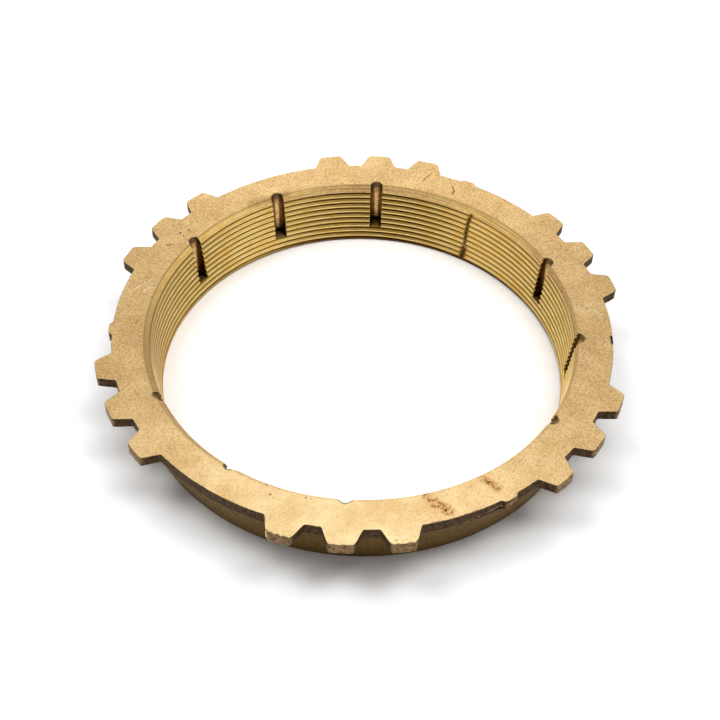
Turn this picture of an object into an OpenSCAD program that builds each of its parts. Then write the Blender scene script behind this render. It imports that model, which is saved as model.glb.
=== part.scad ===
// Synchronizer ring (blocker ring) of a gearbox, forged and turned from brass.
// The ring rests on its small end, with the toothed flange on top. Its bore is a shallow
// friction cone, wide end up, cut with an oil thread and crossed by oil slots.
// Millimetres, +Z up, origin at the centre of the small end.

/* [Toothed flange] */
// Diameter over the tooth tips
tip_d = 77.5; // [75:0.5:82]
// Diameter of the root circle between the teeth
root_d = 72.5; // [70.5:0.5:74]
// Thickness of the flange, which is the height of a tooth
flange_t = 1.9; // [1.2:0.1:3.5]
// Groups of teeth round the ring
groups = 6; // [4:2:8]
// Tooth places in each group, with the empty ones
places_in_group = 5; // [5:1:6]
// Teeth in each group
teeth_in_group = 3; // [1:1:3]
// Width of a tooth across its tip
tooth_tip_w = 3.4; // [2:0.1:4]
// Slope of a tooth's flank from its centre line, in degrees
tooth_flank = 21.5; // [10:0.5:25]
// Rounding of a tooth's lower edges, where the sleeve comes in
lead_in = 0.45; // [0.2:0.05:0.8]

/* [Index stubs] */
// Height of a stub above the root circle
stub_h = 0.5; // [0.3:0.1:1.5]
// Width of a stub across its tip
stub_tip_w = 1.75; // [1:0.05:3]
// Slope of a stub's flank from its centre line, in degrees
stub_flank = 38; // [10:1:45]

/* [Body] */
// Height of the ring
height = 10.6; // [9.5:0.1:14]
// Diameter of the body under the flange
body_top_d = 72; // [69:0.5:72.5]
// Diameter of the body at the small end
body_end_d = 66.6; // [65:0.1:71]
// Broken outer edge of the small end
end_edge = 0.4; // [0.2:0.1:0.8]

/* [Friction cone] */
// Diameter of the bore at the toothed face
mouth_d = 63; // [62.5:0.1:63.8]
// Depth of the bevel at the mouth
bevel_h = 1.15; // [0.5:0.05:1.6]
// Diameter over the thread's crests at the foot of the bevel
cone_d = 61.6; // [59:0.1:62]
// Half angle of the cone, in degrees
cone_half_angle = 6; // [3:0.25:7]
// Broken inner edge of the small end
exit_edge = 0.3; // [0.1:0.1:0.6]

/* [Oil thread] */
// Plain land between the bevel and the first groove
thread_start = 0.05; // [0.05:0.05:1.5]
// Pitch of the grooves down the cone
thread_pitch = 0.95; // [0.8:0.05:1.5]
// Depth of a groove
thread_depth = 0.4; // [0.2:0.05:0.5]
// Included angle of a groove, in degrees
thread_angle = 80; // [50:5:90]

/* [Oil slots] */
// Width of a slot
slot_w = 1.8; // [1.2:0.1:2.6]
// Diameter across the floors of the slots
slot_floor_d = 64.2; // [64:0.1:65.5]
// Length of a slot down from the toothed face
slot_len = 7.8; // [5:0.1:8.5]

/* [Hidden] */
$fn = 180;
// Overshoot of a cut past the face that it opens
over = 1;
// Width of the root circle's band that carries the teeth
embed = 1.5;

tip_r = tip_d / 2;
root_r = root_d / 2;
blank_r = root_r - embed / 2;
group_step = 360 / groups;
place_step = group_step / places_in_group;
flange_z = height - flange_t;
cone_top_z = height - bevel_h;
cone_top_r = cone_d / 2;
cone_end_r = cone_r(exit_edge);
groove_half = thread_depth * tan(thread_angle / 2);
thread_top_z = cone_top_z - thread_start;
groove_count = floor((thread_top_z - 2 * groove_half - exit_edge) / thread_pitch) + 1;
slot_centre_r = (slot_floor_d - slot_w) / 2;

// Radius of the cone over the thread's crests at height z
function cone_r(z) = cone_top_r - (cone_top_z - z) * tan(cone_half_angle);

// Height of the middle of groove i, counted down from the bevel
function groove_z(i) = thread_top_z - groove_half - i * thread_pitch;

// Angle of group i, the first one on +Y and the rest clockwise
function group_angle(i) = 90 - i * group_step;

// Outer side and both ends of the ring without its toothed rim, as a half section
function outer_section() = [
    [cone_end_r + exit_edge, 0],
    [body_end_d / 2 - end_edge, 0],
    [body_end_d / 2, end_edge],
    [body_top_d / 2, flange_z],
    [blank_r, flange_z],
    [blank_r, height],
    [mouth_d / 2, height],
];

// Bevel and grooved cone, down the bore from the bevel's foot to the small end
function cone_section() = concat(
    [[cone_top_r, cone_top_z]],
    [for (i = [0 : groove_count - 1], side = [1, 0, -1])
        let (z = groove_z(i) + side * groove_half)
        [cone_r(z) + (side == 0 ? thread_depth : 0), z]],
    [[cone_end_r, exit_edge]]
);

module ring_blank() {
    rotate_extrude()
        polygon(concat(outer_section(), cone_section()));
}

// Plan of a tooth on +X, with straight flanks and its tip on a circle
module tooth_plan(reach_r, tip_w, flank) {
    inner_x = root_r - embed;
    outer_x = reach_r + over;
    inner_half = tip_w / 2 + (reach_r - inner_x) * tan(flank);
    outer_half = tip_w / 2 - over * tan(flank);
    intersection() {
        circle(reach_r);
        polygon([
            [inner_x, -inner_half],
            [outer_x, -outer_half],
            [outer_x, outer_half],
            [inner_x, inner_half],
        ]);
    }
}

// Slivers between the lower edges of a tooth on +X and their roundings
module lead_in_cuts(reach_r, tip_w, flank) {
    length = (reach_r - root_r + embed) / cos(flank) + 2 * over;
    for (side = [0, 1])
        mirror([0, side, 0])
            translate([reach_r, tip_w / 2, 0])
                rotate(180 - flank)
                    translate([-over, 0, 0])
                        rotate([90, 0, 90])
                            linear_extrude(length)
                                difference() {
                                    translate([-over, -over])
                                        square(lead_in + over);
                                    translate([lead_in, lead_in])
                                        circle(lead_in);
                                }
}

// Children at every tooth's place
module at_teeth() {
    middle = (teeth_in_group - 1) / 2;
    for (i = [0 : groups - 1], k = [0 : teeth_in_group - 1])
        rotate(group_angle(i) + (middle - k) * place_step)
            children();
}

// Children at every stub's place: the first empty one clockwise of every other group
module at_stubs() {
    for (i = [0 : 2 : groups - 1])
        rotate(group_angle(i) - (teeth_in_group + 1) / 2 * place_step)
            children();
}

// Children at every slot's place: under each group, and in the gaps with no stub
module at_slots() {
    for (i = [0 : groups - 1])
        rotate(group_angle(i))
            children();
    for (i = [1 : 2 : groups - 1])
        rotate(group_angle(i) - group_step / 2)
            children();
}

// Outer rim of the flange with its teeth and stubs, its underside at z = 0
module toothed_rim() {
    difference() {
        linear_extrude(flange_t)
            difference() {
                union() {
                    circle(root_r);
                    at_teeth()
                        tooth_plan(tip_r, tooth_tip_w, tooth_flank);
                    at_stubs()
                        tooth_plan(root_r + stub_h, stub_tip_w, stub_flank);
                }
                circle(root_r - embed);
            }
        difference() {
            union() {
                at_teeth()
                    lead_in_cuts(tip_r, tooth_tip_w, tooth_flank);
                at_stubs()
                    lead_in_cuts(root_r + stub_h, stub_tip_w, stub_flank);
            }
            translate([0, 0, -2 * over])
                cylinder(h = flange_t + 4 * over, r = root_r);
        }
    }
}

// Round-floored cut down the cone on +X, open at the toothed face and blind below
module oil_slot() {
    translate([slot_centre_r, 0, height - slot_len]) {
        cylinder(h = slot_len + over, d = slot_w);
        translate([-slot_centre_r / 2, -slot_w / 2, 0])
            cube([slot_centre_r / 2, slot_w, slot_len + over]);
    }
}

module synchro_ring() {
    color("#B8975C")
        difference() {
            union() {
                ring_blank();
                translate([0, 0, flange_z])
                    toothed_rim();
            }
            at_slots()
                oil_slot();
        }
}

synchro_ring();
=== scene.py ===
# %% [markdown]
# # A brass synchronizer ring
# A synchronizer ring is the small brake inside a gearbox. Its tapered, threaded bore rubs on a
# cone of the gear until both turn at one speed, and its teeth then let the shift sleeve pass.
# This lesson dresses the solid ring: it builds one fine surface over it with numpy, gives that
# surface worn brass made of shader nodes, and sets it under soft studio light.

import bpy
import numpy as np
from mathutils import Matrix, Vector


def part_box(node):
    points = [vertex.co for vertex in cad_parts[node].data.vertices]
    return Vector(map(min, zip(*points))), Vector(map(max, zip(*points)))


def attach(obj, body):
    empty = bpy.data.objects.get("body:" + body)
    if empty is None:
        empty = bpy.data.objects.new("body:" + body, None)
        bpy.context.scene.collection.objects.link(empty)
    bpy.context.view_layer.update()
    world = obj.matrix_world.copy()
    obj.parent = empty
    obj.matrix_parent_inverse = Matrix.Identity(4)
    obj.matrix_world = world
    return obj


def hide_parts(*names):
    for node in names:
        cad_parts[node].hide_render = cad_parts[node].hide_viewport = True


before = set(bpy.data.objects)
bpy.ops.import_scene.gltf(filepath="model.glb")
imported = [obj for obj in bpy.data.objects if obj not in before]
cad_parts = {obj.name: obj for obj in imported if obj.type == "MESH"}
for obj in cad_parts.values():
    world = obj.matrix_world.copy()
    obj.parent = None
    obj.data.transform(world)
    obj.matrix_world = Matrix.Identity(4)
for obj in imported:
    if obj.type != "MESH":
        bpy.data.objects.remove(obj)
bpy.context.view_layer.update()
MM = 0.001

# %% [markdown]
# ## Sizes
# The height and the tip radius come from the solid, which has a tooth on +Y. The other sizes
# repeat the ring's own drawing, in millimetres, because a visual surface has to keep its form.

# %% Sizes of the ring in millimetres
ring_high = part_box("synchro_ring")[1]
HEIGHT = ring_high[2] / MM
TIP_R = ring_high[1] / MM
ROOT_R = 36.25
FLANGE_T = 1.9
TOOTH_TIP_W = 3.4
TOOTH_FLANK = np.radians(21.5)
STUB_H = 0.5
STUB_TIP_W = 1.75
STUB_FLANK = np.radians(38.0)
LEAD_IN = 0.45
BODY_TOP_R = 36.0
BODY_END_R = 33.3
END_EDGE = 0.4
MOUTH_R = 31.5
BEVEL_H = 1.15
CONE_R = 30.8
CONE_HALF_ANGLE = np.radians(6.0)
EXIT_EDGE = 0.3
THREAD_START = 0.05
THREAD_PITCH = 0.95
THREAD_DEPTH = 0.4
THREAD_ANGLE = np.radians(80.0)
GROOVE_HALF = THREAD_DEPTH * np.tan(THREAD_ANGLE / 2)
SLOT_W = 1.8
SLOT_FLOOR_R = 32.1
SLOT_LEN = 7.8

PLACES = 30
PLACE_STEP = 360.0 / PLACES
PLACES_IN_GROUP = 5
TEETH_IN_GROUP = 3
GROUPS = PLACES // PLACES_IN_GROUP
GROUP_STEP = PLACE_STEP * PLACES_IN_GROUP
FIRST_GROUP = 90.0
FIRST_PLACE = FIRST_GROUP + PLACE_STEP
FLANGE_Z = HEIGHT - FLANGE_T
CONE_TOP_Z = HEIGHT - BEVEL_H
SLOT_END_Z = HEIGHT - SLOT_LEN
SLOT_CENTRE_R = SLOT_FLOOR_R - SLOT_W / 2
print("height %.2f, tip radius %.2f" % (HEIGHT, TIP_R))

# %% [markdown]
# ## The rim seen from above
# The rim is a circle with teeth on it. A tooth's flank is a straight line, and in polar form a
# straight line is r = c / sin(angle + slope). Holding that line between the root circle and the
# tip circle gives the whole tooth in one formula. A plain minimum would leave knife-sharp corners,
# so a smooth minimum rounds them as the broach and the tumbling barrel did.

# %% Teeth as one polar formula
def smooth_min(a, b, width):
    """The smaller of a and b, rounded off where they come within width of each other."""
    near = np.maximum(width - np.abs(a - b), 0.0) / width
    return np.minimum(a, b) - near * near * width / 4


def smooth_max(a, b, width):
    """The larger of a and b, rounded off where they come within width of each other."""
    return -smooth_min(-a, -b, width)


def place_of(azimuth):
    """Tooth place nearest to an azimuth in degrees, and the angle off its centre line in radians.
    Places count clockwise from the first tooth of the group on +Y."""
    along = (FIRST_PLACE - azimuth) / PLACE_STEP
    place = np.rint(along)
    return place.astype(int) % PLACES, np.radians((along - place) * PLACE_STEP)


def place_kinds(place):
    """True where a place holds a tooth, and true where it holds a stub. A stub stands in the first
    empty place after every other group."""
    in_group = place % PLACES_IN_GROUP
    group = place // PLACES_IN_GROUP
    return in_group < TEETH_IN_GROUP, (in_group == TEETH_IN_GROUP) & (group % 2 == 0)


def rim_radius(azimuth, tip_round=0.8, stub_round=0.2, root_round=0.3):
    """Radius of the rim: the flank line c / sin(angle + slope) held between root and tip circle."""
    place, off = place_of(azimuth)
    tooth, stub = place_kinds(place)
    reach = np.where(tooth, TIP_R, np.where(stub, ROOT_R + STUB_H, ROOT_R))
    slope = np.where(stub, STUB_FLANK, TOOTH_FLANK)
    half = np.where(stub, STUB_TIP_W, TOOTH_TIP_W) / 2
    c = reach * np.sin(slope) + half * np.cos(slope)
    flank = c / np.sin(np.abs(off) + slope)
    tipped = smooth_min(flank, reach, np.where(stub, stub_round, tip_round))
    toothed = smooth_max(tipped, ROOT_R, root_round)
    return np.where(tooth | stub, np.minimum(toothed, reach), ROOT_R)


def rim_columns(per_place=52, root_past_tip=1.76, crowding=3.0, crowd=0.35):
    """Azimuths that crowd where the rim turns a corner: equal steps of the running sum of a density
    that peaks at the tip corners and at the root corners of a tooth."""
    fine = np.linspace(-PLACE_STEP / 2, PLACE_STEP / 2, 2401)
    tip_corner = np.degrees(np.arcsin(TOOTH_TIP_W / 2 / TIP_R))
    density = np.ones(fine.size)
    for corner in (tip_corner, tip_corner + root_past_tip):
        density += crowding * np.exp(-((np.abs(fine) - corner) / crowd) ** 2)
    total = np.cumsum(density)
    total = (total - total[0]) / (total[-1] - total[0])
    local = np.interp(np.arange(per_place) / per_place, total, fine)
    places = FIRST_PLACE + PLACE_STEP * np.arange(PLACES)[:, None]
    return np.sort(np.mod(places + local, 360.0).ravel())


rim_azimuth = rim_columns()
print("rim columns:", rim_azimuth.size)

# %% [markdown]
# ## The friction cone
# The bore is a shallow cone with an oil thread: one V groove that climbs about a millimetre a turn.
# At each azimuth the groove's height is shifted by that share of the pitch, which is all a helix is.
# A bevel opens the mouth, and the larger of bevel and grooved cone lets the thread run out into it.
# Nine straight slots cross the thread and carry the oil away.

# %% Cone, thread and slots
# Height in mm over which the cone and the bevel run into each other.
BLEND = 0.04


def lobe(azimuth, at, power):
    """Share that is 1 at one azimuth, in degrees, and falls as a power of the cosine to 0 a quarter
    turn away."""
    return np.clip(np.cos(np.radians(azimuth - at)), 0, 1) ** power


def cone_radius(z):
    """Radius over the thread's crests, falling from the bevel's foot by the cone's half angle."""
    return CONE_R - (CONE_TOP_Z - z) * np.tan(CONE_HALF_ANGLE)


def groove_depth(azimuth, z, lip=0.4, blunt=0.97, root=0.2):
    """Share of the full groove depth: a V around the helix, with a blunt root and rounded lips."""
    start = CONE_TOP_Z - THREAD_START - GROOVE_HALF
    turns = (start - z) / THREAD_PITCH + (azimuth - FIRST_GROUP) / 360.0
    off = np.abs(turns - np.rint(turns)) * THREAD_PITCH / GROOVE_HALF
    return smooth_min(smooth_max(1.0 - off, 0.0, lip), blunt, root)


def bevel_mouth(azimuth, wide_at=-140.0, wider=0.42, narrow_at=5.0, narrower=0.3):
    """Radius of the bevel's upper edge. The bevel was cut off centre, so its edge lies further out
    at the lower left and further in at the right."""
    return MOUTH_R + wider * lobe(azimuth, wide_at, 4) - narrower * lobe(azimuth, narrow_at, 4)


def bevel_radius(azimuth, z, feed=0.3, feed_depth=0.008, fade=8):
    """Straight bevel from the cone's wide end to the mouth, with the steps of a coarse turning feed,
    which fade out at both ends."""
    share = (z - CONE_TOP_Z) / BEVEL_H
    held = np.clip(share, 0, 1)
    faded = np.clip(held * fade, 0, 1) * np.clip((1 - held) * fade, 0, 1)
    steps = feed_depth * np.sin(2 * np.pi * z / feed) * faded
    return CONE_R + share * (bevel_mouth(azimuth) - CONE_R) + steps


def wall_radius(azimuth, z):
    """Bore's wall: the larger of bevel and grooved cone, broken outward at the small end."""
    cone = cone_radius(z) + THREAD_DEPTH * groove_depth(azimuth, z)
    return smooth_max(bevel_radius(azimuth, z), cone, BLEND) + np.clip(EXIT_EDGE - z, 0, None)


SLOT_AZIMUTHS = np.sort(np.mod(np.concatenate([
    FIRST_GROUP - GROUP_STEP * np.arange(GROUPS),
    FIRST_GROUP - GROUP_STEP * np.arange(1, GROUPS, 2) - GROUP_STEP / 2,
]), 360.0))
print("slots at", SLOT_AZIMUTHS)

# %% [markdown]
# ## The bore as a grid
# The bore's grid runs up the wall in one direction and round the ring in the other. Between slots
# its columns are plain azimuths. Across a slot there are seventeen columns at fixed stations of the
# slot's plan: the wall, a rounded lip, the side and the round floor. Below the slot's end they lie
# on the wall. The lip follows the grooves in and out, so it gets the saw teeth of the real one.

# %% Plan of a slot
def slot_plan(wall, lip, land=0.2):
    """Half of a slot's plan for a wall radius and a lip rounding: distances from the axis and from
    the slot's centre line, along the last axis. The lip's arc touches the wall and the slot's side,
    or the round floor where the wall is so far out that no side is left. The first station lies on
    the wall, a land's width beside the lip."""
    half = SLOT_W / 2
    past = np.maximum(wall + lip - SLOT_CENTRE_R, 0.0)
    lean = np.arcsin(past / (half + lip))[..., None]
    reach = np.sqrt((half + lip) ** 2 - past ** 2)[..., None]
    wall, lip = wall[..., None], lip[..., None]
    turn = (np.pi / 2 - lean) * np.array([0.0, 0.33, 0.67, 1.0])
    dip = lean + (np.pi / 2 - lean) * np.array([0.15, 0.45, 0.75, 1.0])
    out = np.concatenate([wall, wall + lip * (1 - np.cos(turn)), SLOT_CENTRE_R + half * np.sin(dip)], axis=-1)
    aside = np.concatenate([reach + land, reach - lip * np.sin(turn), half * np.cos(dip)], axis=-1)
    on_wall = np.array([1.0, 1.0, 0.9, 0.6, 0.3, 0, 0, 0, 0])
    return out - on_wall * aside ** 2 / (2 * wall), aside


# Share of slot and of slot floor at each station, from the wall to the slot's centre line.
IN_SLOT = np.array([0.0, 0.0, 0.4, 0.9, 1.0, 1.0, 1.0, 1.0, 1.0])
ON_FLOOR = np.array([0.0, 0.0, 0.0, 0.0, 0.0, 0.2, 0.8, 1.0, 1.0])
print("stations across a slot:", 2 * IN_SLOT.size - 1)

# %% Bore grid
# Azimuth of the ring's front. The slot there has the widest lip.
FRONT = 270.0
# A row of the grid below the slots' ends. Columns under a slot share out the plan's width there evenly.
LOW_ROW = 10


def slot_columns(here, z, lip):
    """Columns across the slot at one azimuth: x and y, and the shares of groove depth, of slot and of
    slot floor. Above the slot's end they follow its plan, and below it they lie on the wall."""
    out, aside = slot_plan(wall_radius(here, z)[:, 0], lip[:, 0])
    out = np.concatenate([out, out[:, -2::-1]], axis=1)
    aside = np.concatenate([-aside, aside[:, -2::-1]], axis=1)
    flat = np.linspace(aside[LOW_ROW, 0], aside[LOW_ROW, -1], aside.shape[1])[None, :]
    across = here + np.degrees(flat / CONE_R)
    cut = z > SLOT_END_Z
    u = np.where(cut, out, np.sqrt(wall_radius(across, z) ** 2 - flat ** 2))
    v = np.where(cut, aside, flat)
    in_slot, on_floor = (np.where(cut, np.concatenate([s, s[-2::-1]]), 0.0) for s in (IN_SLOT, ON_FLOOR))
    groove = np.where(cut, groove_depth(here, z) * (1 - in_slot), groove_depth(across, z))
    turn = np.radians(here)
    x, y = u * np.cos(turn) - v * np.sin(turn), u * np.sin(turn) + v * np.cos(turn)
    return x, y, groove * (z < CONE_TOP_Z), in_slot, on_floor


def wall_columns(first, last, z, step=1.9):
    """Columns of the plain wall between two azimuths, about a step in degrees apart, with the same
    shares."""
    azimuth = np.linspace(first, last, int((last - first) / step) + 1)[None, :]
    wall = wall_radius(azimuth, z)
    turn = np.radians(azimuth)
    groove = groove_depth(azimuth, z) * (z < CONE_TOP_Z)
    return wall * np.cos(turn), wall * np.sin(turn), groove, 0.0 * wall, 0.0 * wall


def bore_grid(thread_rows=97, bevel_rows=16, end_step=0.01, lip=0.1, mouth_lip=0.3, front_lip=0.9, room=1.9):
    """Corner positions of the bore, shape (rows, columns, 3), with the share of groove depth, of slot
    and of slot floor at each corner. A slot's lip widens up the bevel, and the plain wall starts at
    some room in mm beside the slot's centre line."""
    z = np.concatenate([
        [0.0, EXIT_EDGE / 2], np.linspace(EXIT_EDGE, CONE_TOP_Z, thread_rows),
        np.linspace(CONE_TOP_Z, HEIGHT, bevel_rows)[1:], [SLOT_END_Z - end_step, SLOT_END_Z + end_step],
    ])
    z = np.sort(z)[:, None]
    opened = np.clip((z - CONE_TOP_Z) / BEVEL_H, 0, 1) ** 1.5
    gap = np.degrees(room / CONE_R)
    parts = []
    for here, ahead in zip(SLOT_AZIMUTHS, np.append(SLOT_AZIMUTHS[1:], SLOT_AZIMUTHS[0] + 360.0)):
        widest = front_lip if here == FRONT else mouth_lip
        parts.append(slot_columns(here, z, lip + (widest - lip) * opened))
        parts.append(wall_columns(here + gap, ahead - gap, z))
    x, y, groove, in_slot, on_floor = (np.concatenate(p, axis=1) for p in zip(*parts))
    return np.stack([x, y, z + 0 * x], axis=2), groove, in_slot, on_floor


bore, bore_groove, bore_slot, bore_floor = bore_grid()
print("bore grid:", bore.shape)

# %% [markdown]
# ## The outside as a grid
# The outer grid starts on the toothed face, a little out from the mouth, runs out over the rim,
# down the tooth's side, under the tooth to the tapered body and across the small end. Its rows are
# offsets of the rim's outline along the outline's own normal, so an edge has the same small
# rounding along tip, flank and root. Handling has chipped the upper edge of some teeth: there the
# rounding grows by fits and starts. Slow noise keeps the sides from being perfect. Both only ever
# take metal away.

# %% Chips and waves
# Chipped stretches of the rim's upper edge: azimuth, half width in degrees, size in mm.
CHIPS = (
    (-103.0, 2.6, 0.40), (-90.0, 2.4, 0.14), (-77.6, 2.6, 0.36), (-71.2, 2.4, 0.26), (-63.5, 2.6, 0.18),
    (-40.0, 2.0, 0.15), (21.0, 1.6, 0.14), (151.0, 1.6, 0.14),
)
# Wavelengths in mm, and the seed of the phases, for the upper edge, its chips, the flange's sides and
# the body's forged skin.
EDGE_RIPPLE = ((4.1, 2.3, 1.3), 11)
CHIP_RIPPLE = ((1.9, 1.15, 0.8), 5)
SIDE_RIPPLE = ((5.3, 2.9, 1.7, 1.1), 3)
SKIN_RIPPLE = ((9.0, 5.1, 3.3, 2.1), 8)
# Size in mm of the waves on sides and skin, and how many such sizes deep their middle lies.
SIDE_WAVE, SIDE_SUNK = 0.014, 1.2
SKIN_WAVE, SKIN_SUNK = 0.02, 2.0


def ripple(azimuth, height, lengths, seed):
    """Sum of waves round the ring, each with its own wavelength in mm, drift in height and phase."""
    waves = np.random.default_rng(seed)
    total = 0.0
    for length in lengths:
        turns = np.rint(2 * np.pi * ROOT_R / length)
        phase, drift = waves.uniform(0, 2 * np.pi), waves.uniform(-2.0, 2.0)
        total = total + np.sin(turns * np.radians(azimuth) + drift * height + phase)
    return total / np.sqrt(len(lengths))


def edge_rounding(azimuth, even=0.08, uneven=0.02, smallest=0.05, largest=0.36):
    """Rounding of the rim's upper edge in mm: a small, nearly even one, larger by fits and starts
    where the edge is chipped."""
    size = even + uneven * ripple(azimuth, 0.0, *EDGE_RIPPLE)
    fits = np.clip(0.45 + 0.75 * ripple(azimuth, 0.0, *CHIP_RIPPLE), 0, 1)
    for here, half, chip in CHIPS:
        off = (azimuth - here + 180.0) % 360.0 - 180.0
        size = size + chip * fits * np.exp(-(off / half) ** 4)
    return np.clip(size, smallest, largest)


print("chips:", len(CHIPS))

# %% Outer grid
# Distance in mm from the mouth to the grid's first row, and radii of its last rows, on the small end.
FACE_START = 0.3
SMALL_END_RADII = (32.2, 31.3, 30.6)


def outer_grid(azimuth, mouth, low_edge=0.15, full_slant=0.5, face_margin=0.05):
    """Corner positions from the toothed face round the rim and body to the small end, shape
    (rows, columns, 3), and each row's share of flange side and of body. The lower edge's rounding
    grows to the lead-in on flanks that slant away from the radius."""
    turn = np.radians(azimuth)
    radial = np.stack([np.cos(turn), np.sin(turn)], axis=1)
    outline = rim_radius(azimuth)[:, None] * radial
    along = np.roll(outline, -1, axis=0) - np.roll(outline, 1, axis=0)
    normal = np.stack([along[:, 1], -along[:, 0]], axis=1)
    normal /= np.linalg.norm(normal, axis=1, keepdims=True)
    slant = 1 - np.abs((normal * radial).sum(axis=1))
    low = low_edge + (LEAD_IN - low_edge) * np.clip(slant / full_slant, 0, 1)
    top_edge = edge_rounding(azimuth)
    rows, side, body = [], [], []

    def add(points, z, on_side, on_body):
        """Adds one row of corners at height z, with its shares of side and body."""
        rows.append(np.column_stack([points, np.broadcast_to(z, azimuth.shape)]))
        side.append(on_side)
        body.append(on_body)

    def inset(d, z):
        """Outline moved in by d along its normal, and further by the side's waves at height z."""
        rough = SIDE_WAVE * (ripple(azimuth, z, *SIDE_RIPPLE) - SIDE_SUNK)
        return outline - (np.clip(d - rough, 0, None))[:, None] * normal

    mouth = mouth[:, None] * radial
    face_end = inset(top_edge + face_margin, HEIGHT)
    for share in (0.0, 0.2, 0.4, 0.6, 0.8, 0.93, 1.0):
        add(mouth + share * (face_end - mouth), HEIGHT, 0.0, 0.0)
    for a in np.radians((0.0, 30.0, 60.0, 90.0)):
        z = HEIGHT - top_edge * (1 - np.cos(a))
        add(inset(top_edge * (1 - np.sin(a)), HEIGHT), z, np.sin(a), 0.0)
    for share in (0.2, 0.4, 0.6, 0.8):
        z = HEIGHT - top_edge - share * (FLANGE_T - top_edge - low)
        add(inset(np.zeros(azimuth.shape), z), z, 1.0, 0.0)
    for a in np.radians((0.0, 25.0, 50.0, 70.0, 90.0)):
        add(inset(low * (1 - np.cos(a)), FLANGE_Z), FLANGE_Z + low * (1 - np.sin(a)), 1.0, 0.0)
    last = rows[-1][:, :2]
    add((last + BODY_TOP_R * radial) / 2, FLANGE_Z, 1.0, 0.0)
    for share in (0.0, 0.03, 0.15, 0.3, 0.45, 0.6, 0.75, 0.9, 1.0):
        z = FLANGE_Z + share * (END_EDGE - FLANGE_Z)
        forged = SKIN_WAVE * (ripple(azimuth, 2 * z, *SKIN_RIPPLE) - SKIN_SUNK)
        r = BODY_TOP_R + share * (BODY_END_R - BODY_TOP_R) + forged
        add(r[:, None] * radial, z, 1.0, 1.0)
    for a in np.radians((30.0, 60.0, 90.0)):
        r = BODY_END_R - SKIN_WAVE * SKIN_SUNK - END_EDGE * (1 - np.cos(a))
        add(r * radial, END_EDGE * (1 - np.sin(a)), 1.0, 1.0)
    for r in SMALL_END_RADII:
        add(r * radial, 0.0, 1.0, 1.0)
    return np.stack(rows), np.array(side), np.array(body)


def azimuths_of(points):
    """Azimuth of each corner, in radians from 0 to a full turn."""
    return np.mod(np.arctan2(points[:, 1], points[:, 0]), 2 * np.pi)


mouth_radius = np.hypot(bore[-1, :, 0], bore[-1, :, 1])
mouth_rim = np.interp(np.radians(rim_azimuth), azimuths_of(bore[-1]), mouth_radius, period=2 * np.pi)
outer, outer_side, outer_body = outer_grid(rim_azimuth, mouth_rim + FACE_START)
print("outer grid:", outer.shape)

# %% [markdown]
# ## One closed skin
# Each grid becomes quads by shifting its index array. The two grids have different columns, so a
# zip of triangles joins them in the flat toothed face and in the flat small end: going round, every
# edge of one ring takes the last corner passed on the other ring as its third corner.

# %% Quads, zips and the mesh
def grid_quads(first, rows, columns):
    """Quads of a grid that closes on itself round the ring, from corner number first on, facing
    away from the metal."""
    index = first + np.arange(rows * columns).reshape(rows, columns)
    beside = np.roll(index, -1, axis=1)
    return np.stack([index[1:], beside[1:], beside[:-1], index[:-1]], axis=-1).reshape(-1, 4)


def zip_rings(ring_a, angle_a, ring_b, angle_b, flip):
    """Triangles between two rings of corners sorted by angle: each edge of a ring goes to the last
    corner of the other ring that was passed before the edge ends."""
    ring_a, angle_a = ring_a[np.argsort(angle_a)], np.sort(angle_a)
    ring_b, angle_b = ring_b[np.argsort(angle_b)], np.sort(angle_b)
    next_a, next_b = np.roll(angle_a, -1), np.roll(angle_b, -1)
    seen_b = np.searchsorted(angle_b, next_a, side="right") - 1
    seen_a = np.searchsorted(angle_a, next_b, side="left") - 1
    part_a = np.stack([ring_a, np.roll(ring_a, -1), ring_b[seen_b]], axis=1)
    part_b = np.stack([np.roll(ring_b, -1), ring_b, ring_a[seen_a]], axis=1)
    faces = np.concatenate([part_a, part_b])
    return faces[:, ::-1] if flip else faces


def mesh_from(name, corners, quads, triangles, sharp=40.0):
    """Mesh of numpy quads and triangles, smooth-shaded, with edges past a sharp angle in degrees kept
    sharp."""
    mesh = bpy.data.meshes.new(name)
    loops = np.concatenate([quads.ravel(), triangles.ravel()])
    totals = np.concatenate([np.full(len(quads), 4), np.full(len(triangles), 3)])
    mesh.vertices.add(len(corners))
    mesh.vertices.foreach_set("co", np.ascontiguousarray(corners * MM, dtype=np.float32).ravel())
    mesh.loops.add(len(loops))
    mesh.loops.foreach_set("vertex_index", loops.astype(np.int32))
    mesh.polygons.add(len(totals))
    mesh.polygons.foreach_set("loop_start", (np.cumsum(totals) - totals).astype(np.int32))
    mesh.polygons.foreach_set("use_smooth", np.ones(len(totals), dtype=bool))
    mesh.update(calc_edges=True)
    mesh.validate()
    mesh.set_sharp_from_angle(angle=np.radians(sharp))
    return mesh


bore_rows, bore_columns = bore.shape[:2]
outer_rows, outer_columns = outer.shape[:2]
outer_first = bore_rows * bore_columns
corners = np.concatenate([bore.reshape(-1, 3), outer.reshape(-1, 3)])
quads = np.concatenate([
    grid_quads(0, bore_rows, bore_columns),
    grid_quads(outer_first, outer_rows, outer_columns),
])
bore_index = np.arange(outer_first).reshape(bore_rows, bore_columns)
outer_index = outer_first + np.arange(outer_rows * outer_columns).reshape(outer_rows, outer_columns)
triangles = np.concatenate([
    zip_rings(bore_index[-1], azimuths_of(bore[-1]), outer_index[0], azimuths_of(outer[0]), True),
    zip_rings(bore_index[0], azimuths_of(bore[0]), outer_index[-1], azimuths_of(outer[-1]), False),
])
ring_mesh = mesh_from("synchro_ring_brass", corners, quads, triangles)
ring = bpy.data.objects.new("synchro_ring_brass", ring_mesh)
bpy.context.collection.objects.link(ring)
print("triangles:", 2 * len(quads) + len(triangles))

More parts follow.
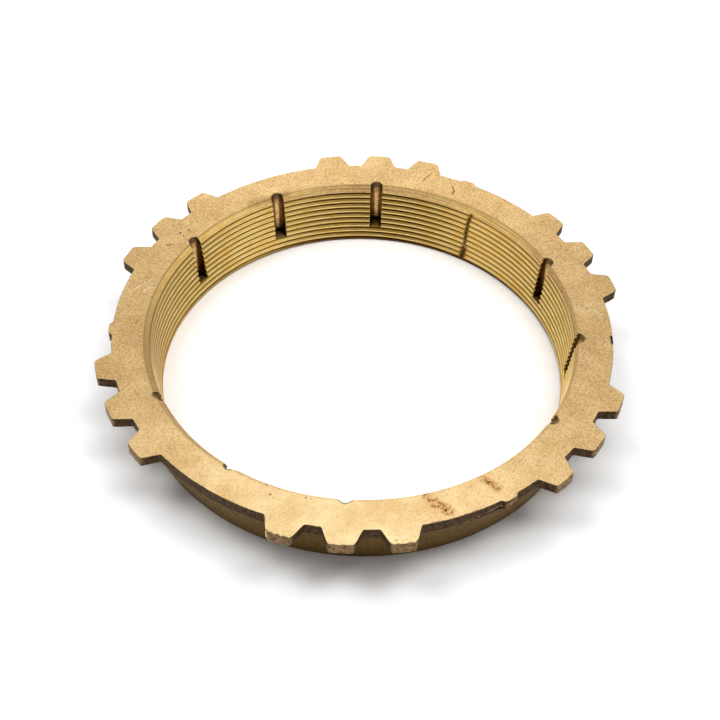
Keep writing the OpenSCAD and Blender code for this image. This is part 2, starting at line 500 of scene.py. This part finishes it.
# %% [markdown]
# ## Masks for the finish
# The shader has to know a groove from a crest and a broached side from the turned face. The grids
# know that already, so each corner carries it as a number that the material reads by name. Oil,
# wear and painted light that follow the ring's form are made the same way: oil and painted shade in
# the grooves, painted shade on part of the bore, in the slots, at the mouth's edge and at the lower
# end, and at the front a face smoothed by wear and painted with a paler highlight.

# %% Masks of the bore
def share_of(value, low, high):
    """Share that goes straight from 0 at low to 1 at high and is held at both ends."""
    return np.clip((value - low) / (high - low), 0, 1)


# Depth in mm of the mouth's edge below the toothed face, and half the width of the painted shade line on it.
MOUTH_EDGE, LINE_HALF = 0.12, 0.13
# Strengths of that painted shade line and of the painted shade on part of the bore.
MOUTH_SHADE, PAINTED_SHADE = 0.75, 0.55
bore_z = bore[:, :, 2]
bore_azimuth = np.degrees(np.arctan2(bore[:, :, 1], bore[:, :, 0]))
beside_slots = 1 - bore_slot
below_mouth = share_of(bore_z, HEIGHT, HEIGHT - MOUTH_EDGE)
on_bevel = share_of(bore_z, CONE_TOP_Z - BLEND, CONE_TOP_Z + BLEND)

# The bevel's brown turned skin is made browner on the far side, at the right and at the lower left,
# which is painted shade, and paler in between, which is a painted highlight. The painted shade line
# along its upper edge is faint on the far side and at the lower left.
bevel_tone_and_shading = lobe(bore_azimuth, 92.0, 6) + lobe(bore_azimuth, -140.0, 6)
# Painted shade on the bevel's right.
right_bevel_shade = lobe(bore_azimuth, 10.0, 6)
bevel_share = on_bevel * (0.2 + 0.8 * np.clip(bevel_tone_and_shading + right_bevel_shade, 0, 1))
bevel_share *= 0.5 + 0.5 * share_of(bore_z, HEIGHT, HEIGHT - 0.6)
mouth_shade_line = np.clip(1 - np.abs(HEIGHT - MOUTH_EDGE - bore_z) / LINE_HALF, 0, 1)
mouth_shade_line *= 1 - 0.7 * np.clip(bevel_tone_and_shading, 0, 1)

# The grooves are darkened by oil and by painted shade in their roots, and on the far side the
# darkening creeps up their flanks, which is painted shade. The bore's lower end is darkened too, as
# painted shade, but hardly at the left, where a painted shade darkens the bore, as it does on the
# bevel's right.
groove_oil_and_shade = bore_groove ** (1 - 0.6 * lobe(bore_azimuth, 90.0, 6))
# Painted shade at the bore's lower end, near the floor, hardly at the left.
oiled_end = share_of(bore_z, 1.0, 0.6) * (1 - 0.85 * lobe(bore_azimuth, 180.0, 2))
# Painted shade on the far left of the bore, and on the bevel's right.
painted_shade = (lobe(bore_azimuth, 195.0, 10) + 0.6 * on_bevel * right_bevel_shade) * below_mouth

# A slot's sides are dark, which is painted shade in the cut. Its floor is dimmer towards the toothed
# face, which is painted shade too, and its lower end is dark, which is painted shadow.
upper_slot = share_of(bore_z, HEIGHT - 2.4, HEIGHT - 0.6)
lower_slot = share_of(bore_z, SLOT_END_Z + 0.8, SLOT_END_Z + 0.4)
bore_masks = {
    "bore": below_mouth,
    "cone": 1 - on_bevel,
    "bevel": bevel_share * beside_slots,
    "mouth_shade_line": MOUTH_SHADE * mouth_shade_line * beside_slots,
    "groove": groove_oil_and_shade,
    "oil": share_of(bore_groove, 0.36, 0.86),
    "slot": bore_slot,
    "slot_floor": bore_floor * (1 - 0.75 * upper_slot),
    "slot_end_shadow": bore_slot * lower_slot,
    "painted_shade": PAINTED_SHADE * painted_shade * beside_slots,
    "bore_end_shade": oiled_end,
}
print("masks of the bore:", list(bore_masks))

# %% Masks of the outside, and all masks on the mesh
def add_mask(mesh, name, values):
    """Stores one number per corner under a name."""
    layer = mesh.attributes.new(name, "FLOAT", "POINT")
    layer.data.foreach_set("value", np.ascontiguousarray(values, dtype=np.float32).ravel())


# Strength of the paler face, which is partly wear and partly a painted highlight, and is most at the front.
WEAR_AND_HIGHLIGHT = 0.6
wear_and_highlight = WEAR_AND_HIGHLIGHT * lobe(rim_azimuth, FRONT, 3)
on_tip = share_of(rim_radius(rim_azimuth), TIP_R - 0.35, TIP_R - 0.1)
outer_masks = {
    "wear_and_highlight": np.outer(1 - outer_side, wear_and_highlight),
    "side": np.repeat(outer_side, outer_columns),
    "body": np.repeat(outer_body, outer_columns),
    "tip": np.outer(outer_side * (1 - outer_body), on_tip),
}
no_bore, no_outer = np.zeros(outer_first), np.zeros(outer_rows * outer_columns)
masks = {name: np.concatenate([values.ravel(), no_outer]) for name, values in bore_masks.items()}
masks |= {name: np.concatenate([no_bore, values.ravel()]) for name, values in outer_masks.items()}
for mask_name, mask_values in masks.items():
    add_mask(ring_mesh, mask_name, mask_values)
print("masks of the outside:", list(outer_masks))

# %% [markdown]
# ## Colours and nodes
# A picture of a shader tree soon grows past what a page can hold, so the tree is written as code.
# One helper is enough for it: it adds a node, fills its inputs and hands back the output that the
# next node needs. Colours are written as on the screen and turned to light for the sockets.

# %% Colour conversion and the node helper
def linear(code):
    """sRGB hex colour to the linear RGBA that shader sockets take."""
    value = np.array([int(code[i:i + 2], 16) for i in (1, 3, 5)]) / 255.0
    rgb = np.where(value <= 0.04045, value / 12.92, ((value + 0.055) / 1.055) ** 2.4)
    return (*rgb, 1.0)


def add_node(tree, kind, inputs, output=0, **settings):
    """Adds a node with its settings. An input is a socket to link, a hex colour or a plain value.
    Returns one of the node's outputs."""
    node = tree.nodes.new(kind)
    for key, value in settings.items():
        setattr(node, key, value)
    for key, value in inputs.items():
        if isinstance(value, bpy.types.NodeSocket):
            tree.links.new(value, node.inputs[key])
        else:
            node.inputs[key].default_value = linear(value) if isinstance(value, str) else value
    return node.outputs[output] if len(node.outputs) else node


print("white is", linear("#FFFFFF"))

# %% [markdown]
# ## Marks of handling
# The face has two patches of casting pits, a few dark scratches, some pale rubbed lines, a smudge and
# a nick in its edge. The thread carries one dark oil stain, and the flange is cracked and burred
# beside a stub, where the dark marks along the flange's lower edge are also painted shadow under
# the ledge. Each mark is a straight stretch between two points, and the shader gives what lies
# within its half width another tone, with a wandering border.

# %% List of marks
FACE = HEIGHT
# Kind, start and end as radius in mm, azimuth in degrees and height in mm, and half width in mm.
MARKS = (
    ("scratch", (33.6, 77.7, FACE), (36.2, 76.1, FACE), 0.10),
    ("scratch", (34.3, 69.3, FACE), (33.6, 68.1, FACE), 0.16),
    ("scratch", (33.6, 68.1, FACE), (32.5, 67.9, FACE), 0.16),
    ("scratch", (32.5, 12.0, FACE), (33.5, 10.3, FACE), 0.08),
    ("scratch", (34.3, 149.7, FACE), (34.2, 149.9, FACE), 0.22),
    ("scratch", (33.7, 147.5, FACE), (33.6, 147.7, FACE), 0.20),
    ("scratch", (34.3, 155.3, FACE), (33.8, 154.6, FACE), 0.16),
    ("scratch", (33.4, 150.0, FACE), (33.3, 150.2, FACE), 0.16),
    ("scratch", (33.1, -107.3, FACE), (32.9, -107.0, FACE), 0.16),
    ("scratch", (31.8, -108.9, FACE), (31.7, -109.4, FACE), 0.13),
    ("scratch", (32.1, -99.2, FACE), (32.0, -99.3, FACE), 0.15),
    ("rubbed", (34.7, 172.7, FACE), (32.8, 168.3, FACE), 0.12),
    ("rubbed", (33.3, 173.3, FACE), (32.5, 170.8, FACE), 0.12),
    ("rubbed", (33.6, 10.2, FACE), (35.5, 8.3, FACE), 0.11),
    ("burr", (36.3, -56.0, 9.6), (36.25, -59.5, 9.15), 0.20),
    ("burr", (36.25, -60.5, 9.2), (36.2, -65.0, 8.95), 0.18),
    ("burr", (36.75, -53.0, 10.0), (36.75, -54.8, 9.6), 0.80),
    ("rubbed", (38.5, -104.5, 10.3), (38.45, -104.4, 8.9), 0.26),
    # Cracks and a nick; along the flange's lower edge these marks are also painted shadow under the ledge.
    ("crack_and_ledge_shadow", (36.45, -55.55, 10.0), (36.25, -55.5, 9.2), 0.32),
    ("crack_and_ledge_shadow", (36.25, -55.6, 9.2), (36.2, -57.6, 8.85), 0.30),
    ("crack_and_ledge_shadow", (36.2, -58.6, 8.85), (36.2, -62.0, 8.8), 0.34),
    ("crack_and_ledge_shadow", (36.2, -62.6, 8.8), (36.1, -66.5, 8.55), 0.26),
    ("crack_and_ledge_shadow", (36.1, 0.9, FACE), (36.1, -0.9, FACE), 0.36),
    ("pitted", (31.9, -70.6, FACE), (33.2, -69.9, FACE), 0.9),
    ("pitted", (33.2, -69.4, FACE), (34.9, -67.4, FACE), 1.0),
    ("pitted", (32.2, -56.0, FACE), (33.4, -55.3, FACE), 0.75),
    ("pitted", (33.4, -55.3, FACE), (34.5, -54.9, FACE), 0.7),
    ("smudge", (31.8, 128.0, FACE), (31.4, 117.0, FACE), 1.0),
    ("stain", (30.8, 59.9, 9.3), (30.65, 60.6, 8.0), 0.55),
    ("stain", (30.65, 60.6, 8.0), (30.25, 60.9, 3.9), 0.50),
    ("stain", (30.1, 60.8, 2.6), (29.9, 61.2, 0.7), 0.80),
)


def place_mm(radius, azimuth, height):
    """Point in metres from a radius, an azimuth and a height."""
    turn = np.radians(azimuth)
    return np.array([radius * np.cos(turn), radius * np.sin(turn), height]) * MM


print("marks:", len(MARKS))

# %% [markdown]
# ## Brass
# The ring is forged brass. The toothed face was turned and bead blasted, which leaves a pale, even,
# sandy grain that is still a little rougher across the old turning lines than along them, so its
# shine spreads outwards from the axis. The cone was cut last: its crests shine, and old oil and
# painted shade darken its grooves. The sides keep the brown skin of the furnace and the broach.
# Some layers paint shade, shadow or a highlight into the colour. One material holds all of them,
# in layers: each layer mixes two tones by a noise and lies over the last one by a mask.

# %% Patterns of the brass
# Sizes of the surface's patterns in mm. Blasted grain is about 0.1 mm in truth, which is less than
# a pixel here, so it is drawn coarser.
GRAIN, BLOTCH, RUST, TURNED, WANDER, PIT, SPECK = 0.27, 5.0, 1.6, 0.2, 0.9, 0.5, 2.6
# Share of the turning lines' pattern that is left round the axis.
ROUND_SHARE = 0.02


def brass_noises(tree, place):
    """Noises from 0 to 1 by name. The turning lines read (radius, 0, height) and only a small share
    of the place, so they hardly change round the axis."""
    flat = add_node(tree, "ShaderNodeVectorMath", {0: place, 1: (1.0, 1.0, 0.0)}, "Vector",
                    operation="MULTIPLY")
    radius = add_node(tree, "ShaderNodeVectorMath", {0: flat}, "Value", operation="LENGTH")
    upright = add_node(tree, "ShaderNodeSeparateXYZ", {0: place}, "Z")
    lathe = add_node(tree, "ShaderNodeCombineXYZ", {0: radius, 2: upright}, "Vector")
    lathe = add_node(tree, "ShaderNodeVectorMath", {0: flat, 1: (ROUND_SHARE, ROUND_SHARE, 0.0), 2: lathe},
                     "Vector", operation="MULTIPLY_ADD")
    noise = {}
    for name, size, where in (("grain", GRAIN, place), ("blotch", BLOTCH, place), ("rust", RUST, place),
                              ("turned", TURNED, lathe), ("pit", PIT, place)):
        noise[name] = add_node(tree, "ShaderNodeTexNoise", {
            "Vector": where, "Scale": 1 / (size * MM), "Detail": 3.0, "Roughness": 0.65}, "Fac")
    return noise


print("grain %.2f mm, turning lines %.2f mm" % (GRAIN, TURNED))

# %% Marks in the brass
# How far in mm a mark's border wanders, and the share of its half width that a mark fills wholly.
PUSH, SOLID = 0.5, 0.3


def mark_shares(tree, place):
    """Share of each kind of mark, from 1 near a stretch to 0 at its half width. The distance is that
    to the stretch's nearest point, measured from places that a noise has pushed about."""
    push = PUSH * MM
    pushed = add_node(tree, "ShaderNodeTexNoise",
                      {"Vector": place, "Scale": 1 / (WANDER * MM), "Detail": 2.0}, "Color")
    ragged = add_node(tree, "ShaderNodeVectorMath", {0: pushed, 1: (push, push, push), 2: place}, "Vector",
                      operation="MULTIPLY_ADD")
    marked = {}
    for kind, start, end, width in MARKS:
        a, b = place_mm(*start) + push / 2, place_mm(*end) + push / 2
        away = add_node(tree, "ShaderNodeVectorMath", {0: ragged, 1: a}, "Vector", operation="SUBTRACT")
        along = add_node(tree, "ShaderNodeVectorMath", {0: away, 1: (b - a) / ((b - a) @ (b - a))}, "Value",
                         operation="DOT_PRODUCT")
        held = add_node(tree, "ShaderNodeClamp", {"Value": along})
        nearest = add_node(tree, "ShaderNodeVectorMath", {0: b - a, "Scale": held}, "Vector",
                           operation="SCALE")
        far = add_node(tree, "ShaderNodeVectorMath", {0: away, 1: nearest}, "Value", operation="DISTANCE")
        near = add_node(tree, "ShaderNodeMapRange",
                        {"Value": far, "From Min": width * MM, "From Max": SOLID * width * MM}, "Result")
        marked[kind] = add_node(tree, "ShaderNodeMath", {0: near, 1: marked.get(kind, 0.0)}, "Value",
                                operation="MAXIMUM")
    return marked


print("kinds of mark:", sorted({kind for kind, *_ in MARKS}))

# %% Patches in the brass
# Strengths of the smudge and of the warm haze round the casting pits.
SMUDGE, HAZE = 0.5, 0.45


def brass_patches(tree, place, mask, noise, marked):
    """Shares of patches by name: the oil stain, the bevel's turning lines and the pits, each broken up
    by a noise, with single specks outside the bore among the pits, and the smudge and the haze."""
    patches = {}
    for name, pattern, low, high, where in (
            ("stain", "rust", 0.30, 0.46, marked["stain"]),
            ("bevel_lines", "turned", 0.52, 0.60, mask["bevel"]),
            ("pits", "pit", 0.46, 0.62, marked["pitted"])):
        broken = add_node(tree, "ShaderNodeMapRange",
                          {"Value": noise[pattern], "From Min": low, "From Max": high}, "Result")
        patches[name] = add_node(tree, "ShaderNodeMath", {0: broken, 1: where}, "Value", operation="MULTIPLY")
    specks = add_node(tree, "ShaderNodeTexVoronoi", {"Vector": place, "Scale": 1 / (SPECK * MM)}, "Distance")
    specks = add_node(tree, "ShaderNodeMapRange",
                      {"Value": specks, "From Min": 0.07, "From Max": 0.03, "To Max": 0.6}, "Result")
    specks = add_node(tree, "ShaderNodeMath", {0: specks, 1: mask["bore"]}, "Value", operation="SUBTRACT")
    patches["pits"] = add_node(tree, "ShaderNodeMath", {0: patches["pits"], 1: specks}, "Value",
                               operation="MAXIMUM")
    for name, kind, strength in (("smudge", "smudge", SMUDGE), ("haze", "pitted", HAZE)):
        patches[name] = add_node(tree, "ShaderNodeMath", {0: marked[kind], 1: strength}, "Value",
                                 operation="MULTIPLY")
    return patches


print("specks about every %.1f mm" % SPECK)

# %% Layers of the brass
def brass_colour(tree, mask, noise, marked, patches):
    """Colour of the brass: the grain's two tones as ground, and layer upon layer over it."""
    colour = None
    # Share of the layer, which is whole for the ground, its noise with that noise's low and high end,
    # dark and light tone.
    for share, name, low, high, dark, light in (
            (1.0, "grain", 0.29, 0.56, "#B2864E", "#F7D8A0"),
            (0.30, "blotch", 0.38, 0.66, "#CCA262", "#FDE3AA"),
            # Paler front of the face: wear, and a painted highlight.
            (mask["wear_and_highlight"], "blotch", 0.38, 0.66, "#EACE98", "#FDE8BC"),
            (patches["haze"], "blotch", 0.40, 0.60, "#DCA058", "#C88C48"),
            (mask["bore"], "rust", 0.40, 0.70, "#FFE496", "#F4C868"),
            # Grooves: oil and painted shade, up the flanks on the far side as painted shade; roots darker,
            # oil and painted shade.
            (mask["groove"], "rust", 0.30, 0.70, "#9A6A1E", "#C8963E"),
            (mask["oil"], "rust", 0.30, 0.70, "#4A2C02", "#6E460C"),
            # Bevel: brown turned skin, browner as painted shade, and paler between as a painted highlight.
            (mask["bevel"], "pit", 0.30, 0.70, "#CCA266", "#F6DAA4"),
            (patches["bevel_lines"], "rust", 0.30, 0.70, "#A07C42", "#B8945A"),
            # Painted shade line along the mouth's edge.
            (mask["mouth_shade_line"], "rust", 0.30, 0.70, "#7A5A2C", "#A27E48"),
            # Painted shade on the far left of the bore and on the bevel's right.
            (mask["painted_shade"], "rust", 0.40, 0.70, "#B48E64", "#CCA67A"),
            (patches["smudge"], "pit", 0.35, 0.65, "#86683A", "#C8A466"),
            # Slot: painted shade on its sides and on the floor near the face, painted shadow at its lower
            # end.
            (mask["slot"], "rust", 0.30, 0.70, "#3A2810", "#5A4120"),
            (mask["slot_floor"], "pit", 0.30, 0.70, "#A27C48", "#E4BE84"),
            (mask["slot_end_shadow"], "rust", 0.30, 0.70, "#38240C", "#4A3214"),
            # Painted shade at the bore's lower end, near the floor.
            (mask["bore_end_shade"], "rust", 0.30, 0.70, "#543814", "#755224"),
            (mask["side"], "pit", 0.35, 0.65, "#34251A", "#665038"),
            (mask["body"], "pit", 0.30, 0.70, "#4E3A18", "#7E6130"),
            (mask["tip"], "pit", 0.35, 0.65, "#604C36", "#AA8C64"),
            (patches["pits"], "pit", 0.40, 0.65, "#B4763C", "#7A4620"),
            (marked["rubbed"], "rust", 0.30, 0.70, "#FFE8BE", "#FFF0D0"),
            (marked["scratch"], "rust", 0.30, 0.70, "#4A3218", "#644620"),
            (marked["burr"], "pit", 0.40, 0.60, "#6E5434", "#A88860"),
            # Near black: cracks and a nick, and painted shadow under the flange's lower edge.
            (marked["crack_and_ledge_shadow"], "pit", 0.40, 0.60, "#0C0602", "#2A1A0C"),
            (patches["stain"], "pit", 0.30, 0.70, "#2E1A06", "#6A4616")):
        tone = add_node(tree, "ShaderNodeMapRange",
                        {"Value": noise[name], "From Min": low, "From Max": high}, "Result")
        tone = add_node(tree, "ShaderNodeMix", {0: tone, "A": dark, "B": light}, "Result", data_type="RGBA")
        if colour is None:
            colour = tone
        else:
            colour = add_node(tree, "ShaderNodeMix", {0: share, "A": colour, "B": tone}, "Result",
                              data_type="RGBA")
    return colour


# Roughness of the blasted face and of the thread's brightest crests.
FACE_ROUGH, CREST_ROUGH = 0.64, 0.32
print("roughness from %.2f to %.2f" % (FACE_ROUGH, CREST_ROUGH))

# %% Brass material
def brass():
    """Forged brass with a blasted face, a bright threaded cone and brown sides. To the eye it is a
    warm satin: no mirror images, a broad glow on the face and dark lines in the thread."""
    material = bpy.data.materials.new("brass_blasted_and_turned")
    material.use_nodes = True
    tree = material.node_tree
    tree.nodes.clear()
    place = add_node(tree, "ShaderNodeTexCoord", {}, "Object")
    mask = {name: add_node(tree, "ShaderNodeAttribute", {}, "Fac", attribute_name=name) for name in masks}
    noise = brass_noises(tree, place)
    marked = mark_shares(tree, place)
    patches = brass_patches(tree, place, mask, noise, marked)
    colour = brass_colour(tree, mask, noise, marked, patches)

    # Pits, scratches and cracks lie lower than the grain.
    sunk = patches["pits"]
    for kind in ("scratch", "crack_and_ledge_shadow"):
        sunk = add_node(tree, "ShaderNodeMath", {0: marked[kind], 1: sunk}, "Value", operation="MAXIMUM")
    height = add_node(tree, "ShaderNodeMath", {0: noise["grain"], 1: sunk}, "Value", operation="SUBTRACT")
    normal = add_node(tree, "ShaderNodeBump", {"Height": height, "Strength": 0.08, "Distance": 0.1 * MM},
                      "Normal")
    tangent = add_node(tree, "ShaderNodeTangent", {}, "Tangent", direction_type="RADIAL", axis="Z")
    gloss = add_node(tree, "ShaderNodeMath", {0: mask["cone"], 1: noise["rust"]}, "Value",
                     operation="MULTIPLY")
    gloss = add_node(tree, "ShaderNodeMapRange",
                     {"Value": gloss, "From Max": 0.5, "To Min": FACE_ROUGH, "To Max": CREST_ROUGH}, "Result")
    surface = add_node(tree, "ShaderNodeBsdfPrincipled",
                       {"Base Color": colour, "Metallic": 1.0, "Roughness": gloss, "Anisotropic": 0.5,
                        "Anisotropic Rotation": 0.25, "Normal": normal, "Tangent": tangent}, "BSDF")
    add_node(tree, "ShaderNodeOutputMaterial", {"Surface": surface})
    return material


ring_mesh.materials.append(brass())
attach(ring, "root")
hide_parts("synchro_ring")
print("material:", ring_mesh.materials[0].name)

# %% [markdown]
# ## Floor
# A packshot like this one stands on a sweep of white paper. A plain sheet does here, with one change
# that a photographer makes with exposure: it looks a little whiter than it lights the ring.

# %% Floor
def floor_material(lit_to=0.12, white_from=0.35):
    """Matte white paper: an even white that keeps the soft shadow. What looks straight at it, or at
    its mirror image in the metal, gets a second thin coat of white on it, as in a picture that is
    exposed for the metal, and plain white far off, where the sweep runs out of the light. Both
    distances from the middle are in metres."""
    material = bpy.data.materials.new("matte_white_paper")
    material.use_nodes = True
    tree = material.node_tree
    tree.nodes.clear()
    seen = 0.0
    for ray in ("Is Camera Ray", "Is Glossy Ray", "Is Transmission Ray"):
        path = add_node(tree, "ShaderNodeLightPath", {}, ray)
        seen = add_node(tree, "ShaderNodeMath", {0: path, 1: seen}, "Value", operation="MAXIMUM")
    coat = add_node(tree, "ShaderNodeMix", {0: seen, "A": "#000000", "B": "#757575"}, "Result",
                    data_type="RGBA")
    paper = add_node(tree, "ShaderNodeBsdfDiffuse", {"Color": "#FCFCFC"}, "BSDF")
    coat = add_node(tree, "ShaderNodeBsdfDiffuse", {"Color": coat}, "BSDF")
    both = add_node(tree, "ShaderNodeAddShader", {0: paper, 1: coat}, "Shader")
    place = add_node(tree, "ShaderNodeTexCoord", {}, "Object")
    away = add_node(tree, "ShaderNodeVectorMath", {0: place}, "Value", operation="LENGTH")
    away = add_node(tree, "ShaderNodeMapRange",
                    {"Value": away, "From Min": lit_to, "From Max": white_from}, "Result")
    away = add_node(tree, "ShaderNodeMath", {0: away, 1: seen}, "Value", operation="MULTIPLY")
    white = add_node(tree, "ShaderNodeEmission", {"Color": "#FFFFFF", "Strength": 1.0}, "Emission")
    sweep = add_node(tree, "ShaderNodeMixShader", {0: away, 1: both, 2: white}, "Shader")
    add_node(tree, "ShaderNodeOutputMaterial", {"Surface": sweep})
    return material


FLOOR_HALF = 150.0
FLOOR_CORNERS = ((-1, -1), (1, -1), (1, 1), (-1, 1))
floor_mesh = bpy.data.meshes.new("floor")
floor_mesh.from_pydata([(x * FLOOR_HALF, y * FLOOR_HALF, 0.0) for x, y in FLOOR_CORNERS], [], [(0, 1, 2, 3)])
floor = bpy.data.objects.new("floor", floor_mesh)
bpy.context.collection.objects.link(floor)
floor_mesh.materials.append(floor_material())
print("floor:", 2 * FLOOR_HALF, "m wide")

# %% [markdown]
# ## Light
# Such a picture is taken in a white tent: soft light from above, from behind and from both sides,
# while the front stays open and dark, where the camera stands. Softboxes hang overhead in a row, so
# the shadow stays close under the teeth, and the outer two slide their glow to either side of the
# middle of the face.

# %% World and softboxes
def white_tent(sides=0.5, back=0.16, dim=0.05, band_edge=0.05, band_full=0.015):
    """World that lights the scene softly: strength = dim + sides * |x| + back * max(y, 0), which is
    two bright side walls, a weaker back wall, and an open front and top. Where |z| is small it is
    white, because there the sweep meets the walls."""
    world = bpy.data.worlds.new("white_tent")
    world.use_nodes = True
    tree = world.node_tree
    tree.nodes.clear()
    way = add_node(tree, "ShaderNodeTexCoord", {}, "Generated")
    across, behind, level = (add_node(tree, "ShaderNodeSeparateXYZ", {0: way}, axis) for axis in "XYZ")
    across = add_node(tree, "ShaderNodeMath", {0: across}, "Value", operation="ABSOLUTE")
    behind = add_node(tree, "ShaderNodeMath", {0: behind, 1: 0.0}, "Value", operation="MAXIMUM")
    level = add_node(tree, "ShaderNodeMath", {0: level}, "Value", operation="ABSOLUTE")
    strength = add_node(tree, "ShaderNodeMath", {0: across, 1: sides, 2: dim}, "Value",
                        operation="MULTIPLY_ADD")
    strength = add_node(tree, "ShaderNodeMath", {0: behind, 1: back, 2: strength}, "Value",
                        operation="MULTIPLY_ADD")
    band = add_node(tree, "ShaderNodeMapRange",
                    {"Value": level, "From Min": band_edge, "From Max": band_full}, "Result")
    strength = add_node(tree, "ShaderNodeMath", {0: band, 1: strength}, "Value", operation="MAXIMUM")
    glow = add_node(tree, "ShaderNodeBackground", {"Color": "#FFFFFF", "Strength": strength}, "Background")
    add_node(tree, "ShaderNodeOutputWorld", {"Surface": glow})
    return world


def softbox(name, place, wide, deep, power, aim=(0.0, 0.0, 0.0)):
    """Rectangular area lamp at a place in metres, turned to face a point and hidden from the camera."""
    lamp = bpy.data.lights.new(name, "AREA")
    lamp.shape = "RECTANGLE"
    lamp.size, lamp.size_y = wide, deep
    lamp.energy = power
    holder = bpy.data.objects.new(name, lamp)
    holder.location = place
    holder.rotation_euler = (Vector(aim) - Vector(place)).to_track_quat("-Z", "Y").to_euler()
    holder.visible_camera = False
    bpy.context.collection.objects.link(holder)
    return holder


bpy.context.scene.world = white_tent()
softboxes = (
    softbox("overhead_softbox", (0.04, -0.10, 0.80), 0.35, 0.32, 1.44),
    softbox("left_softbox", (-0.36, -0.02, 0.78), 0.30, 0.30, 1.9),
    softbox("right_softbox", (0.36, -0.02, 0.78), 0.30, 0.30, 1.85),
    softbox("back_softbox", (0.0, 0.36, 0.72), 0.50, 0.30, 1.0),
)
print("softboxes:", [lamp.name for lamp in softboxes])

# %% [markdown]
# ## Camera
# The photograph looks down on the ring at about 48 degrees, from a little under 200 millimetres.
# Those numbers, the small roll and the turn of the ring come from the corners of its teeth.

# %% Camera
IMAGE_PX = 720.0
SENSOR_MM = 36.0
FOCAL_PX = 1332.5
ELEVATION = np.radians(47.53)
TURN = np.radians(3.374)
ROLL = np.radians(1.126)
DISTANCE = 5.0012 * TIP_R * MM
ASIDE = 0.01008 * TIP_R * MM
ABOVE = 0.13275 * TIP_R * MM

forward = Vector((-np.sin(TURN) * np.cos(ELEVATION), np.cos(TURN) * np.cos(ELEVATION), -np.sin(ELEVATION)))
right = forward.cross(Vector((0.0, 0.0, 1.0))).normalized()
up = right.cross(forward)
right, up = right * np.cos(ROLL) + up * np.sin(ROLL), up * np.cos(ROLL) - right * np.sin(ROLL)
target = Vector((0.0, 0.0, HEIGHT * MM))
camera = bpy.data.objects.new("camera", bpy.data.cameras.new("camera"))
camera.data.sensor_width = SENSOR_MM
camera.data.lens = FOCAL_PX / IMAGE_PX * SENSOR_MM
spot = target - forward * DISTANCE - right * ASIDE - up * ABOVE
axes = Matrix((right, up, -forward)).transposed()
camera.matrix_world = Matrix.Translation(spot) @ axes.to_4x4()
bpy.context.collection.objects.link(camera)
bpy.context.scene.camera = camera
bpy.context.scene.view_settings.view_transform = "Standard"
print("camera at mm:", [round(v / MM, 1) for v in spot], "lens %.2f" % camera.data.lens)

# %% Finish
bpy.context.view_layer.update()
